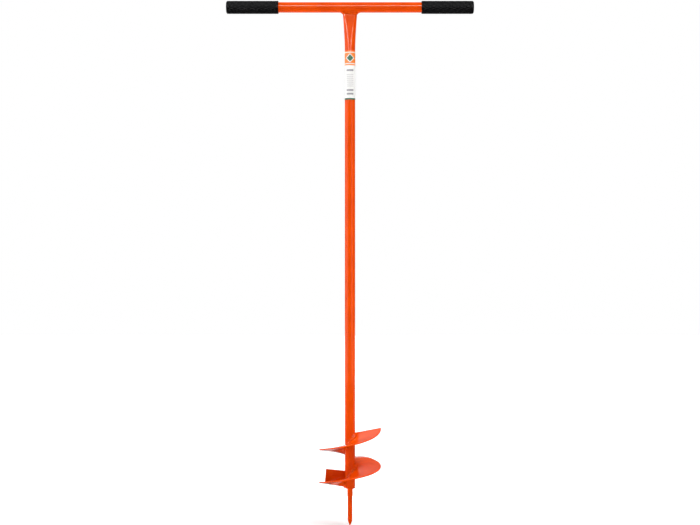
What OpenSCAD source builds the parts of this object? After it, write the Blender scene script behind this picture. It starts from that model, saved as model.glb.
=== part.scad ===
// Hand earth auger: a welded steel T-handle with a screw flight and a pilot spike at its foot.
// Millimetres. The spike's tip is at the origin, the shank stands along +Z, the crossbar lies along X.
// Angles of the flight are counted from +X towards +Y, and the flight climbs with the angle.

/* [Tubes] */
// Outside diameter of the shank and crossbar tubes
tube_od = 25; // [22:0.5:30]
// Wall of the shank tube
shank_wall = 1.5; // [1:0.1:2.5]
// Wall of the crossbar tube
crossbar_wall = 1.5; // [1:0.1:2.5]
// Height of the crossbar's axis above the lower end of the shank
shank_reach = 1163; // [600:1:1500]
// Length of the crossbar tube, which ends inside the grips
crossbar_length = 590; // [400:2:800]

/* [Pressed top end of the shank] */
// Outside thickness of the shank where it is pressed flat under the crossbar
press_thickness = 7.2; // [6:0.1:16]
// Length over which the round tube turns into the pressed end
press_length = 92; // [50:1:200]
// How the flare is spread: 1 is straight, more gathers it near the crossbar
press_curve = 1.5; // [1:0.1:3]
// Leg of the weld along the pressed end
joint_weld_drop = 7; // [4:0.5:10]
// Leg of the weld along the crossbar
joint_weld_spread = 9.5; // [5:0.5:12]

/* [Grips] */
// Length of a grip
grip_length = 126; // [90:1:160]
// Outside diameter of a grip
grip_od = 31; // [30:0.5:40]
// Closed wall at the outer end of a grip
grip_end_wall = 4; // [2:0.5:8]
// Rounding of the grip's outer rim
grip_rounding = 4; // [1:0.5:5]
// Plain band at the inner end of a grip
grip_inner_band = 4; // [3:0.5:12]
// Plain band at the outer end of a grip
grip_outer_band = 5.5; // [5.5:0.5:16]
// Depth of the grooves between the raised diamonds
groove_depth = 0.9; // [0.4:0.1:1.2]
// Diamonds in a row along a grip
diamond_columns = 7; // [4:1:8]
// Diamonds in a row around a grip
diamond_rows = 12; // [8:2:14]

/* [Flight] */
// Outside diameter of the flight
flight_od = 150; // [90:1:200]
// Rise of the flight in one turn
flight_pitch = 79; // [60:0.5:120]
// Thickness of the flight's sheet
flight_sheet = 3; // [2:0.25:5]
// Height of the leading corner above the lower end of the shank
lead_height = 11; // [11:0.5:40]
// Angle of the leading edge
lead_angle = 169.5; // [90:0.5:270]
// Turns of the whole flight, which is made of two equal blanks
flight_turns = 1.535; // [1.2:0.005:2]
// How far the inner corner hangs below the outer one at the leading edge
lead_droop = 6.8; // [0:0.1:7]
// How far the outer corner is bent up above a true screw at the top edge
tail_lift_height = 12; // [0:0.5:15]
// Arc over which each end of the flight is bent
bend_arc = 130; // [30:5:150]
// How far the outer corners of the two blanks hang where they meet
seam_dip = 8; // [0:0.5:10]
// Arc on each side of the seam over which the corners hang
seam_bend_arc = 40; // [20:5:90]
// Leg of the weld that joins the flight to the shank
flight_weld_leg = 4.5; // [2:0.5:6]
// Number of short welds under the flight
under_welds = 6; // [3:1:9]
// Arc of one short weld under the flight
under_weld_arc = 45; // [15:5:60]
// Width of the weld across the seam between the two blanks
seam_weld_width = 6; // [3:0.5:10]
// Crown of the weld across the seam
seam_weld_crown = 1.1; // [0.5:0.1:2]

/* [Soil stop plate] */
// Angle from the leading edge to the plate
stop_offset = 10.5; // [6:0.5:60]
// How far the plate's foot stays inside the flight's rim
stop_inset = 14; // [0:1:40]
// Height of the plate above the flight
stop_height = 33; // [10:1:50]
// Thickness of the plate
stop_sheet = 3; // [2:0.25:5]
// Leg of the welds along the plate's foot
stop_weld_leg = 3.5; // [2:0.5:5]

/* [Spike] */
// Length of the spike below the shank
spike_reach = 92; // [60:1:150]
// Diameter of the spike
spike_od = 11.5; // [7:0.5:12]
// Diameter of the spike's thicker root
spike_root_od = 13; // [12:0.1:15]
// Length of the thick root below the shank
spike_root_length = 19; // [8:1:40]
// Length of the spike's point
spike_point = 14; // [8:1:30]
// Flat left on the very tip
spike_tip_od = 1; // [0.5:0.1:4]
// Length of the root above the end plug, inside the shank
spike_tail = 6; // [2:1:40]
// Thickness of the plug that closes the shank
plug_thickness = 6; // [3:0.5:15]
// Leg of the weld around the spike
spike_weld_leg = 2.5; // [1:0.25:3]
// Width of the weld between plug and shank
plug_weld_width = 2.2; // [1:0.1:2.5]
// Crown of the weld between plug and shank
plug_weld_crown = 0.8; // [0.3:0.1:1.5]

/* [Label] */
// Height of the paper label
label_height = 118; // [40:1:200]
// Distance from the pressed end down to the label
label_drop = 2; // [1:1:100]
// Arc of the shank that the label covers
label_arc = 330; // [90:5:350]
// Thickness of the label
label_sheet = 0.25; // [0.15:0.05:0.5]

/* [Fits] */
// Gap between a grip's bore and the crossbar
grip_fit = 0.15; // [0.1:0.05:0.4]
// Gap between welded pieces
joint_fit = 0.2; // [0.1:0.05:0.3]
// Gap between a weld and the pieces it runs along
weld_fit = 0.15; // [0.1:0.05:0.25]
// Gap under the label
label_fit = 0.05; // [0.03:0.01:0.15]

/* [Hidden] */
$fn = 96;

paint_orange = "#ee5014";
weld_orange = "#dd4a14";
grip_black = "#1c1e20";
label_white = "#e8ebe8";

tube_r = tube_od / 2;
shank_bore_r = tube_r - shank_wall;
shank_foot = spike_reach;
crossbar_z = shank_foot + shank_reach;
overcut = 1;

// Pressed end of the shank, from the round tube up to the underside of the crossbar
press_top = crossbar_z - tube_r;
press_foot = press_top - press_length;
press_sections = 12;
press_sides = 48;
// The saddle cut reaches up to here before the crossbar takes it away
press_stub = crossbar_z - tube_r / 2;
// The formed end starts this much inside the round tube, so that the two join along one clear edge
press_step = 0.02;

// Grips
grip_r = grip_od / 2;
groove_r = grip_r - groove_depth;
grip_bore_r = tube_r + grip_fit;
grip_bore_depth = grip_length - grip_end_wall;
grip_start = crossbar_length / 2 + joint_fit - grip_bore_depth;
grip_inner_chamfer = 1;
diamond_top = 0.62;
diamond_start = grip_inner_band + groove_depth;
diamond_field = grip_length - grip_outer_band - groove_depth - diamond_start;

// Flight
flight_r = flight_od / 2;
flight_root = tube_r + joint_fit;
flight_foot = shank_foot + lead_height;
flight_arc = 360 * flight_turns;
// Arc of the first blank, up to the seam
lower_arc = flight_arc / 2;
flight_step = 5;
seam_gap_angle = 0.5;
flight_stations = 7;
weld_root = tube_r + weld_fit;
flight_weld_toe = weld_root + flight_weld_leg;

// Soil stop plate
stop_root = tube_r + joint_fit;
stop_reach = flight_r - stop_inset;
stop_tilt = atan(lead_bend(stop_offset) / (flight_r - flight_root));
stop_stations = 8;
// The weld on top of the flight starts behind the plate
top_weld_start = stop_offset + (stop_sheet / 2 + weld_fit) / weld_root * 180 / PI;

label_r = tube_r + label_fit;
label_top = press_foot - label_drop;

// Shapes swept through rings of points

function ring_quad(a, b, sides, j) =
    let (k = (j + 1) % sides)
    [[a + j, b + j, b + k], [a + j, b + k, a + k]];

function wall_faces(rings, sides, first = 0) = [
    for (i = [0 : rings - 2], j = [0 : sides - 1])
        each ring_quad(first + i * sides, first + (i + 1) * sides, sides, j)
];

// An end of a sweep whose ring runs out along one side and back along the other
function strip_cap(first, sides, turned) = [
    for (i = [0 : sides / 2 - 2])
        let (a = first + i, b = first + i + 1, c = first + sides - 2 - i, d = first + sides - 1 - i)
        each turned ? [[a, d, c], [a, c, b]] : [[a, b, c], [a, c, d]]
];

// A bar through open rings, with strip ends
module swept_bar(rings) {
    sides = len(rings[0]);
    last = (len(rings) - 1) * sides;
    polyhedron(
        points = [for (ring = rings) each ring],
        faces = concat(
            wall_faces(len(rings), sides),
            strip_cap(0, sides, false),
            strip_cap(last, sides, true)
        )
    );
}

// Middle of a weld's face, bulged away from the corner that the weld fills
function bead_face(root, top, toe) =
    let (bulge = 0.05)
    (top + toe) * (0.5 + bulge) - root * 2 * bulge;

// A bar that closes on itself
module swept_loop(rings) {
    sides = len(rings[0]);
    last = (len(rings) - 1) * sides;
    polyhedron(
        points = [for (ring = rings) each ring],
        faces = concat(
            wall_faces(len(rings), sides),
            [for (j = [0 : sides - 1]) each ring_quad(last, 0, sides, j)]
        )
    );
}

// Crossbar and grips

module crossbar_tube() {
    color(paint_orange)
        translate([-crossbar_length / 2, 0, crossbar_z])
            rotate([0, 90, 0])
                difference() {
                    cylinder(r = tube_r, h = crossbar_length);
                    translate([0, 0, -overcut])
                        cylinder(r = tube_r - crossbar_wall, h = crossbar_length + 2 * overcut);
                }
}

// A point on a grip that lies along +Z, at a place along it, a step around it and a radius
function grip_point(along, step, r) =
    let (a = step * 180 / diamond_rows)
    [r * cos(a), r * sin(a), along];

function grip_ring(along, r) =
    [for (j = [0 : 2 * diamond_rows - 1]) grip_point(along, j, r)];

// A place along the field of diamonds, counted in half diamonds
function field_along(i) = diamond_start + diamond_field * i / (2 * diamond_columns);

// Outline of a grip, closed at both ends, with diamonds raised between crossed grooves
module grip_body() {
    sides = 2 * diamond_rows;
    halves = 2 * diamond_columns;
    rounding_steps = 4;
    inner_rings = [
        grip_ring(0, grip_r - grip_inner_chamfer),
        grip_ring(grip_inner_chamfer, grip_r),
        grip_ring(grip_inner_band, grip_r)
    ];
    outer_rings = concat(
        [grip_ring(grip_length - grip_outer_band, grip_r)],
        [
            for (i = [0 : rounding_steps])
                let (a = 90 * i / rounding_steps)
                grip_ring(
                    grip_length - grip_rounding * (1 - sin(a)),
                    grip_r - grip_rounding * (1 - cos(a))
                )
        ]
    );
    grid = [for (i = [0 : halves]) grip_ring(field_along(i), groove_r)];
    centres = [
        for (i = [1 : halves - 1], j = [0 : sides - 1])
            if ((i + j) % 2 == 0) [i, j]
    ];
    tops = [
        for (c = centres, d = [[1, 0], [0, 1], [-1, 0], [0, -1]])
            grip_point(field_along(c[0] + diamond_top * d[0]), c[1] + diamond_top * d[1], grip_r)
    ];
    grid_first = len(inner_rings) * sides;
    outer_first = grid_first + (halves + 1) * sides;
    top_first = outer_first + len(outer_rings) * sides;
    end_first = top_first - sides;

    function grid_at(i, j) = grid_first + i * sides + (j + sides) % sides;

    diamond_faces = [
        for (n = [0 : len(centres) - 1])
            let (
                i = centres[n][0],
                j = centres[n][1],
                t = top_first + 4 * n,
                corners = [grid_at(i + 1, j), grid_at(i, j + 1), grid_at(i - 1, j), grid_at(i, j - 1)]
            )
            each concat(
                [[t, t + 1, t + 2], [t, t + 2, t + 3]],
                [
                    for (k = [0 : 3])
                        let (m = (k + 1) % 4)
                        each [
                            [corners[k], corners[m], t + m],
                            [corners[k], t + m, t + k]
                        ]
                ]
            )
    ];
    // Half diamonds at both ends of the field stay at the depth of the grooves
    edge_faces = [
        for (j = [0 : 2 : sides - 1])
            each [
                [grid_at(0, j - 1), grid_at(1, j), grid_at(0, j)],
                [grid_at(0, j), grid_at(1, j), grid_at(0, j + 1)],
                [grid_at(halves, j - 1), grid_at(halves, j), grid_at(halves - 1, j)],
                [grid_at(halves, j), grid_at(halves, j + 1), grid_at(halves - 1, j)]
            ]
    ];
    polyhedron(
        points = concat(
            [for (ring = inner_rings) each ring],
            [for (ring = grid) each ring],
            [for (ring = outer_rings) each ring],
            tops
        ),
        faces = concat(
            [[for (j = [0 : sides - 1]) j]],
            wall_faces(len(inner_rings) + 1, sides),
            diamond_faces,
            edge_faces,
            wall_faces(len(outer_rings) + 1, sides, outer_first - sides),
            [[for (j = [0 : sides - 1]) end_first + sides - 1 - j]]
        )
    );
}

// A grip on the end of the crossbar that points along +X
module grip() {
    color(grip_black)
        translate([grip_start, 0, crossbar_z])
            rotate([0, 90, 0])
                difference() {
                    grip_body();
                    translate([0, 0, -overcut])
                        cylinder(r = grip_bore_r, h = grip_bore_depth + overcut);
                }
}

module left_grip() {
    rotate([0, 0, 180])
        grip();
}

module right_grip() {
    grip();
}

// Shank

// How far the pressing has gone at a height: 0 where the tube is round, 1 under the crossbar
function press_share(z) =
    pow(min(1, max(0, (z - press_foot) / press_length)), press_curve);

function press_depth(z) = tube_od - (tube_od - press_thickness) * press_share(z);

// The wall keeps its length around, so the tube grows wider as it is pressed thinner
function press_width(z) =
    let (midline = PI * (tube_od - shank_wall))
    midline / 2 - (PI / 2 - 1) * (press_depth(z) - shank_wall) + shank_wall;

// A point on the pressed tube's outside, moved out by a margin, at an angle round its rounded sides
function press_point(z, a, margin = 0) =
    let (
        straight = (press_width(z) - press_depth(z)) / 2,
        r = press_depth(z) / 2 + margin
    )
    [sign(cos(a)) * straight + r * cos(a), r * sin(a)];

// Rings of points up the pressed end, moved out by a margin
function press_rings(margin) = [
    for (z = concat(
        [for (i = [0 : press_sections]) press_foot + press_length * i / press_sections],
        [press_stub]
    ))
        [
            for (j = [0 : press_sides - 1])
                let (p = press_point(z, (j + 0.5) * 360 / press_sides, margin))
                [p[0], p[1], z]
        ]
];

module pressed_end() {
    outer = press_rings(-press_step);
    inner = press_rings(press_step - shank_wall);
    rings = len(outer);
    inner_first = rings * press_sides;
    polyhedron(
        points = concat([for (ring = outer) each ring], [for (ring = inner) each ring]),
        faces = concat(
            wall_faces(rings, press_sides),
            [for (f = wall_faces(rings, press_sides, inner_first)) [f[2], f[1], f[0]]],
            [for (j = [0 : press_sides - 1]) each ring_quad(inner_first, 0, press_sides, j)],
            [
                for (j = [0 : press_sides - 1])
                    each ring_quad(
                        inner_first - press_sides,
                        inner_first + (rings - 1) * press_sides,
                        press_sides,
                        j
                    )
            ]
        )
    );
}

module shank_tube() {
    color(paint_orange) {
        difference() {
            union() {
                translate([0, 0, shank_foot])
                    difference() {
                        cylinder(r = tube_r, h = press_foot - shank_foot);
                        translate([0, 0, -overcut])
                            cylinder(r = shank_bore_r, h = press_foot - shank_foot + 2 * overcut);
                    }
                pressed_end();
            }
            translate([-tube_od, 0, crossbar_z])
                rotate([0, 90, 0])
                    cylinder(r = tube_r + joint_fit, h = 2 * tube_od);
        }
    }
}

// The weld's section at one place around the pressed end: along the crossbar, then hollowed back to the shank.
// The face is hollow along the crossbar and nearly straight where the crossbar curves away in front and behind.
function joint_weld_section(a) =
    let (
        bar_r = tube_r + joint_fit,
        along_steps = 4,
        face_steps = 4,
        fullness = 0.25 + 0.2 * abs(sin(a)),
        root = press_point(press_top, a, joint_fit),
        root_angle = asin(root[1] / bar_r),
        along_bar = [
            for (i = [0 : along_steps])
                let (
                    spread = joint_weld_spread * i / along_steps,
                    turn = root_angle + sin(a) * spread / bar_r * 180 / PI
                )
                [root[0] + cos(a) * spread, bar_r * sin(turn), crossbar_z - bar_r * cos(turn)]
        ],
        toe_z = along_bar[0][2] - joint_weld_drop,
        toe_flat = press_point(toe_z, a, joint_fit),
        toe = [toe_flat[0], toe_flat[1], toe_z],
        bar_toe = along_bar[along_steps],
        hollow = along_bar[0] + (bar_toe + toe - 2 * along_bar[0]) * fullness
    )
    concat(
        along_bar,
        [
            for (i = [1 : face_steps])
                let (t = i / face_steps)
                bar_toe * (1 - t) * (1 - t) + hollow * 2 * t * (1 - t) + toe * t * t
        ]
    );

module crossbar_weld() {
    stations = 40;
    color(weld_orange)
        swept_loop([for (i = [0 : stations - 1]) joint_weld_section((i + 0.5) * 360 / stations)]);
}

module label_wrap() {
    color(label_white)
        translate([0, 0, label_top - label_height])
            rotate([0, 0, -90 - label_arc / 2])
                rotate_extrude(angle = label_arc)
                    translate([label_r, 0])
                        square([label_sheet, label_height]);
}

// Flight

// How far the inner edge hangs below a true screw surface, at an arc from the leading edge
function lead_bend(arc) = lead_droop * pow(max(0, 1 - arc / bend_arc), 2);

// How far the outer edge is bent up above a true screw surface, at an arc from the leading edge
function tail_bend(arc) = tail_lift_height * pow(max(0, 1 - (flight_arc - arc) / bend_arc), 2);

// How far the outer edge hangs below a true screw surface near the seam of the blanks
function seam_bend(arc) = seam_dip * pow(max(0, 1 - abs(arc - lower_arc) / seam_bend_arc), 2);

// Height of the middle of the sheet at an arc from the leading edge and a radius
function flight_z(arc, r) =
    let (
        inward = (flight_r - r) / (flight_r - flight_root),
        outer_bend = tail_bend(arc) - seam_bend(arc)
    )
    flight_foot + flight_pitch * arc / 360 - lead_bend(arc) * inward + outer_bend * (1 - inward);

// Half the sheet measured upright, which grows as the surface gets steeper near the shank
function flight_half(r) =
    flight_sheet / 2 * sqrt(1 + pow(flight_pitch / (2 * PI * r), 2));

// A point at an arc from the leading edge, a radius and a height
function flight_point(arc, r, z) =
    let (a = lead_angle + arc)
    [r * cos(a), r * sin(a), z];

// Radii across the sheet, closer together near the shank where the surface twists most
function flight_radius(i) =
    flight_root * pow(flight_r / flight_root, i / (flight_stations - 1));

function flight_ring(arc) = concat(
    [
        for (i = [0 : flight_stations - 1])
            let (r = flight_radius(i))
            flight_point(arc, r, flight_z(arc, r) + flight_half(r))
    ],
    [
        for (i = [flight_stations - 1 : -1 : 0])
            let (r = flight_radius(i))
            flight_point(arc, r, flight_z(arc, r) - flight_half(r))
    ]
);

// Arcs from one place to another in even steps
function arc_steps(from, to) =
    let (n = max(2, ceil((to - from) / flight_step)))
    [for (i = [0 : n]) from + (to - from) * i / n];

module flight(from, to) {
    color(paint_orange)
        swept_bar([for (arc = arc_steps(from, to)) flight_ring(arc)]);
}

module lower_flight() {
    flight(0, lower_arc - seam_gap_angle / 2);
}

module upper_flight() {
    flight(lower_arc + seam_gap_angle / 2, flight_arc);
}

// Section of the weld in the corner of shank and flight, above the sheet (side 1) or under it (side -1).
// Under the leading edge the weld ends with the shank.
function flight_weld_section(arc, side, size) =
    let (
        toe_r = weld_root + size,
        root_z = flight_z(arc, weld_root) + side * (flight_half(weld_root) + weld_fit),
        toe_z = flight_z(arc, toe_r) + side * (flight_half(toe_r) + weld_fit),
        toe = flight_point(arc, toe_r, toe_z),
        root = flight_point(arc, weld_root, root_z),
        top_z = max(root_z + side * size, shank_foot + weld_fit),
        top = flight_point(arc, weld_root, top_z),
        face = bead_face(root, top, toe)
    )
    side > 0 ? [root, top, face, toe] : [root, toe, face, top];

module flight_weld(from, to, side) {
    color(weld_orange)
        swept_bar([for (arc = arc_steps(from, to)) flight_weld_section(arc, side, flight_weld_leg)]);
}

module flight_top_weld() {
    flight_weld(top_weld_start, flight_arc, 1);
}

module flight_under_weld() {
    spacing = (flight_arc - under_weld_arc) / (under_welds - 1);
    for (i = [0 : under_welds - 1])
        flight_weld(i * spacing, i * spacing + under_weld_arc, -1);
}

// Weld that runs out along the seam between the blanks, crowned across
module flight_seam_weld() {
    root = flight_weld_toe + weld_fit;
    stations = 10;
    across_steps = 4;
    half_width = seam_weld_width / 2;
    rings = [
        for (i = [0 : stations])
            let (r = root + (flight_r - root) * i / stations)
            [
                for (layer = [1, 0], n = [0 : across_steps])
                    let (
                        share = (layer == 1 ? 1 : -1) * (2 * n / across_steps - 1),
                        arc = lower_arc + share * half_width / r * 180 / PI,
                        edge = 0.25,
                        crown = layer * seam_weld_crown * (1 - (1 - edge) * share * share),
                        z = flight_z(arc, r) + flight_half(r) + weld_fit
                    )
                    flight_point(arc, r, z + crown)
            ]
    ];
    color(weld_orange)
        swept_bar(rings);
}

// Soil stop plate, square on the drooping start of the flight

// Height of the flight's upper face at the plate, at a radius and a distance across the plate
function stop_floor(r, across) =
    let (arc = stop_offset + across / r * 180 / PI)
    flight_z(arc, r) + flight_half(r);

// A point at a radius along the plate, a distance across it and a height
function stop_point(r, across, z) =
    let (a = lead_angle + stop_offset)
    [r * cos(a) - across * sin(a), r * sin(a) + across * cos(a), z];

function stop_ring(share) =
    let (
        foot_r = stop_root + (stop_reach - stop_root) * share,
        head_r = stop_root + (stop_reach - stop_height * sin(stop_tilt) - stop_root) * share,
        head_z = flight_z(stop_offset, foot_r) + flight_sheet / 2 + stop_height * cos(stop_tilt),
        half = stop_sheet / 2
    )
    [
        stop_point(head_r, half, head_z),
        stop_point(head_r, -half, head_z),
        stop_point(foot_r, -half, stop_floor(foot_r, -half) + joint_fit),
        stop_point(foot_r, half, stop_floor(foot_r, half) + joint_fit)
    ];

module soil_stop_plate() {
    color(paint_orange)
        swept_bar([for (i = [0 : stop_stations]) stop_ring(i / stop_stations)]);
}

// Welds along both sides of the plate's foot, clear of the weld round the shank.
// The one on the leading side starts where the flight is wide enough to carry it.
module stop_plate_weld() {
    near = stop_sheet / 2 + weld_fit;
    far = near + stop_weld_leg;
    inner_r = flight_weld_toe + weld_fit;
    lead_r = far / stop_offset * 180 / PI;
    end_r = stop_reach - stop_weld_leg;
    color(weld_orange)
        for (side = [1, -1])
            swept_bar([
                for (i = [0 : stop_stations])
                    let (
                        start_r = side > 0 ? inner_r : max(inner_r, lead_r),
                        r = start_r + (end_r - start_r) * i / stop_stations,
                        floor_near = stop_floor(r, side * near) + weld_fit,
                        floor_far = stop_floor(r, side * far) + weld_fit,
                        root = stop_point(r, side * near, floor_near),
                        top = stop_point(r, side * near, floor_near + stop_weld_leg),
                        toe = stop_point(r, side * far, floor_far)
                    )
                    side > 0 ? [top, root, toe, bead_face(root, top, toe)]
                             : [root, top, bead_face(root, top, toe), toe]
            ]);
}

// Spike and the plug that holds it

module end_plug() {
    color(paint_orange)
        translate([0, 0, shank_foot])
            difference() {
                cylinder(r = shank_bore_r - joint_fit, h = plug_thickness);
                translate([0, 0, -overcut])
                    cylinder(d = spike_root_od + 2 * joint_fit, h = plug_thickness + 2 * overcut);
            }
}

// Bead that closes the joint between plug and shank, on the lower end face
module plug_weld() {
    half = plug_weld_width / 2;
    bead_r = (half * half + plug_weld_crown * plug_weld_crown) / (2 * plug_weld_crown);
    color(weld_orange)
        translate([0, 0, shank_foot - weld_fit])
            rotate_extrude()
                translate([shank_bore_r, 0])
                    intersection() {
                        translate([-half, -plug_weld_crown])
                            square([plug_weld_width, plug_weld_crown]);
                        translate([0, bead_r - plug_weld_crown])
                            circle(r = bead_r);
                    }
}

module spike() {
    root_r = spike_root_od / 2;
    rod_r = spike_od / 2;
    root_foot = spike_reach - spike_root_length;
    color(paint_orange)
        rotate_extrude()
            polygon([
                [0, 0],
                [spike_tip_od / 2, 0],
                [rod_r, spike_point],
                [rod_r, root_foot - (root_r - rod_r)],
                [root_r, root_foot],
                [root_r, spike_reach + plug_thickness + spike_tail],
                [0, spike_reach + plug_thickness + spike_tail]
            ]);
}

module spike_weld() {
    root_r = spike_root_od / 2 + weld_fit;
    color(weld_orange)
        translate([0, 0, shank_foot - weld_fit])
            rotate_extrude()
                polygon([
                    [root_r, 0],
                    [root_r, -spike_weld_leg],
                    [root_r + spike_weld_leg, 0]
                ]);
}

crossbar_tube();
left_grip();
right_grip();
shank_tube();
crossbar_weld();
label_wrap();
lower_flight();
upper_flight();
flight_seam_weld();
flight_top_weld();
flight_under_weld();
soil_stop_plate();
stop_plate_weld();
end_plug();
plug_weld();
spike();
spike_weld();
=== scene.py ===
"""Looks of the hand earth auger: painted steel, welds, moulded grips and a printed label.

Metres, in the frame of the CAD model: the spike's tip is at the origin, the shank stands along +Z and the
crossbar lies along X. Arcs of the flight are in degrees, counted from its leading edge.
"""

import math

import bpy
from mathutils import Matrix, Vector


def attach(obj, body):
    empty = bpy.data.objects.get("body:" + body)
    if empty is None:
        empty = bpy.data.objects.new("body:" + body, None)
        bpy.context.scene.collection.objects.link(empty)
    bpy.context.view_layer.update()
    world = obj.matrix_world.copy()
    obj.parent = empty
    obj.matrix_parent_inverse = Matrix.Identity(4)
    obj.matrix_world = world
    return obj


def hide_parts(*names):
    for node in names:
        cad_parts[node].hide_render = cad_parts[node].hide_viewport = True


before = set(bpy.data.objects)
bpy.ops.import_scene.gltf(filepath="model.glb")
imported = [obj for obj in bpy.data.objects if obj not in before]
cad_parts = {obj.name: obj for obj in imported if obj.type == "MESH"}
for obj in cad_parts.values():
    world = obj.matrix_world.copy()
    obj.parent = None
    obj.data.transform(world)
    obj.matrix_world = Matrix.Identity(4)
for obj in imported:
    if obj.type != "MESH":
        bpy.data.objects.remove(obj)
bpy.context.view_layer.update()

MM = 0.001


# Sizes, the same as those of the CAD model

tube_r = 12.5 * MM
tube_wall = 1.5 * MM
crossbar_z = 1255 * MM
crossbar_half = 295 * MM
shank_foot = 92 * MM
press_thickness = 7.2 * MM
press_length = 92 * MM
press_curve = 1.5
press_top = crossbar_z - tube_r
press_foot = press_top - press_length
joint_weld_drop = 7 * MM
joint_weld_spread = 9.5 * MM

grip_length = 126 * MM
grip_r = 15.5 * MM
grip_start = 173.2 * MM
grip_bore_r = 12.65 * MM
grip_end_wall = 4 * MM
grip_rounding = 4 * MM
grip_inner_band = 4 * MM
grip_outer_band = 5.5 * MM
groove_depth = 0.9 * MM
diamond_columns = 7
diamond_rows = 12

flight_r = 75 * MM
flight_pitch = 79 * MM
flight_sheet = 3 * MM
flight_foot = 103 * MM
lead_angle = 169.5
flight_arc = 360 * 1.535
lower_arc = flight_arc / 2
lead_droop = 6.8 * MM
tail_lift = 12 * MM
bend_arc = 130
seam_dip = 8 * MM
seam_bend_arc = 40
flight_weld_leg = 4.5 * MM
under_welds = 6
under_weld_arc = 45
seam_weld_width = 6 * MM
seam_weld_crown = 1.1 * MM

stop_offset = 10.5
stop_reach = 61 * MM
stop_height = 33 * MM
stop_sheet = 3 * MM
stop_weld_leg = 3.5 * MM

spike_r = 5.75 * MM
spike_root_r = 6.5 * MM
spike_root_foot = 73 * MM
spike_head = 104 * MM
spike_point = 14 * MM
spike_tip_r = 0.5 * MM
plug_top = 98 * MM
spike_weld_leg = 2.5 * MM
plug_weld_width = 2.2 * MM
plug_weld_crown = 0.8 * MM

label_height = 118 * MM
label_top = press_foot - 2 * MM
label_arc = 330
label_gap = 0.05 * MM
label_sheet = 0.25 * MM


# Small helpers

def linear(hex_colour):
    """An sRGB hex colour as linear RGBA."""
    shares = [int(hex_colour[i:i + 2], 16) / 255 for i in (1, 3, 5)]
    return [c / 12.92 if c <= 0.04045 else ((c + 0.055) / 1.055) ** 2.4 for c in shares] + [1]


def add(tree, kind, inputs=None, **settings):
    """Adds a node with its settings.

    An input takes a value, a socket, or a node, which stands for that node's first output.
    """
    node = tree.nodes.new(kind)
    for name, value in settings.items():
        setattr(node, name, value)
    for key, value in (inputs or {}).items():
        if isinstance(value, bpy.types.Node):
            value = value.outputs[0]
        if isinstance(value, bpy.types.NodeSocket):
            tree.links.new(value, node.inputs[key])
        else:
            node.inputs[key].default_value = value
    return node


def polar(r, degrees, z):
    a = math.radians(degrees)
    return (r * math.cos(a), r * math.sin(a), z)


def new_object(name, points, edges, faces):
    mesh = bpy.data.meshes.new(name)
    mesh.from_pydata(points, edges, faces)
    obj = bpy.data.objects.new(name, mesh)
    bpy.context.scene.collection.objects.link(obj)
    return obj


def loft(name, rings, looped=False):
    """Skins rings of points, closed at both ends, or from the last ring back to the first."""
    sides = len(rings[0])
    faces = []
    for i in range(len(rings) if looped else len(rings) - 1):
        low = i * sides
        high = (i + 1) % len(rings) * sides
        for j in range(sides):
            k = (j + 1) % sides
            faces.append((low + j, low + k, high + k, high + j))
    if not looped:
        last = (len(rings) - 1) * sides
        faces.append(tuple(reversed(range(sides))))
        faces.append(tuple(range(last, last + sides)))
    return new_object(name, [p for ring in rings for p in ring], [], faces)


def path(name, *lines):
    """Lines of points for welds to follow."""
    points = []
    edges = []
    for line in lines:
        first = len(points)
        points += line
        edges += [(i, i + 1) for i in range(first, len(points) - 1)]
    return new_object(name, points, edges, [])


def turned(name, outline, sides=96, looped=False):
    """Turns an outline of radii and heights round the Z axis."""
    turns = [360 * j / sides for j in range(sides)]
    return loft(name, [[polar(r, a, z) for a in turns] for r, z in outline], looped)


def spread(first, last, count):
    return [first + (last - first) * i / (count - 1) for i in range(count)]


def finish_mesh(obj, sharp_angle=40):
    """Turns the object's modifiers into a plain mesh, smooth except along sharp edges."""
    depsgraph = bpy.context.evaluated_depsgraph_get()
    mesh = bpy.data.meshes.new_from_object(obj.evaluated_get(depsgraph))
    obj.modifiers.clear()
    old = obj.data
    obj.data = mesh
    bpy.data.meshes.remove(old)
    mesh.name = obj.name
    mesh.shade_smooth()
    mesh.set_sharp_from_angle(angle=math.radians(sharp_angle))
    return obj


def dress(obj, material, slot, *nodes):
    """Paints a finished piece and lets it stand for its CAD nodes."""
    obj.data.materials.clear()
    obj.data.materials.append(material)
    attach(obj, "root")
    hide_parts(*nodes)
    return obj


# Materials

def new_material(name):
    material = bpy.data.materials.new(name)
    material.use_nodes = True
    tree = material.node_tree
    return material, tree, tree.nodes["Principled BSDF"]


def powder_coat(name, dark, light, tone_size, peel_size, peel_height):
    """Glossy polyester powder coat: a thick orange film, softly pebbled, with sharp reflections."""
    material, tree, surface = new_material(name)
    place = add(tree, "ShaderNodeTexCoord").outputs["Object"]
    # The film is a little thicker in some places than in others, which shifts its tone
    tone = add(tree, "ShaderNodeTexNoise", {"Vector": place, "Scale": 1 / tone_size, "Detail": 3})
    ramp = add(tree, "ShaderNodeValToRGB", {"Fac": tone})
    ramp.color_ramp.elements[0].position = 0.35
    ramp.color_ramp.elements[0].color = linear(dark)
    ramp.color_ramp.elements[1].position = 0.65
    ramp.color_ramp.elements[1].color = linear(light)
    peel = add(tree, "ShaderNodeTexNoise", {"Vector": place, "Scale": 1 / peel_size, "Detail": 2})
    gloss = add(tree, "ShaderNodeMapRange", {"Value": tone, "To Min": 0.05, "To Max": 0.11})
    bump = add(tree, "ShaderNodeBump", {"Strength": 0.25, "Distance": peel_height, "Height": peel})
    tree.links.new(ramp.outputs[0], surface.inputs["Base Color"])
    tree.links.new(gloss.outputs[0], surface.inputs["Roughness"])
    tree.links.new(bump.outputs[0], surface.inputs["Normal"])
    return material


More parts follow.
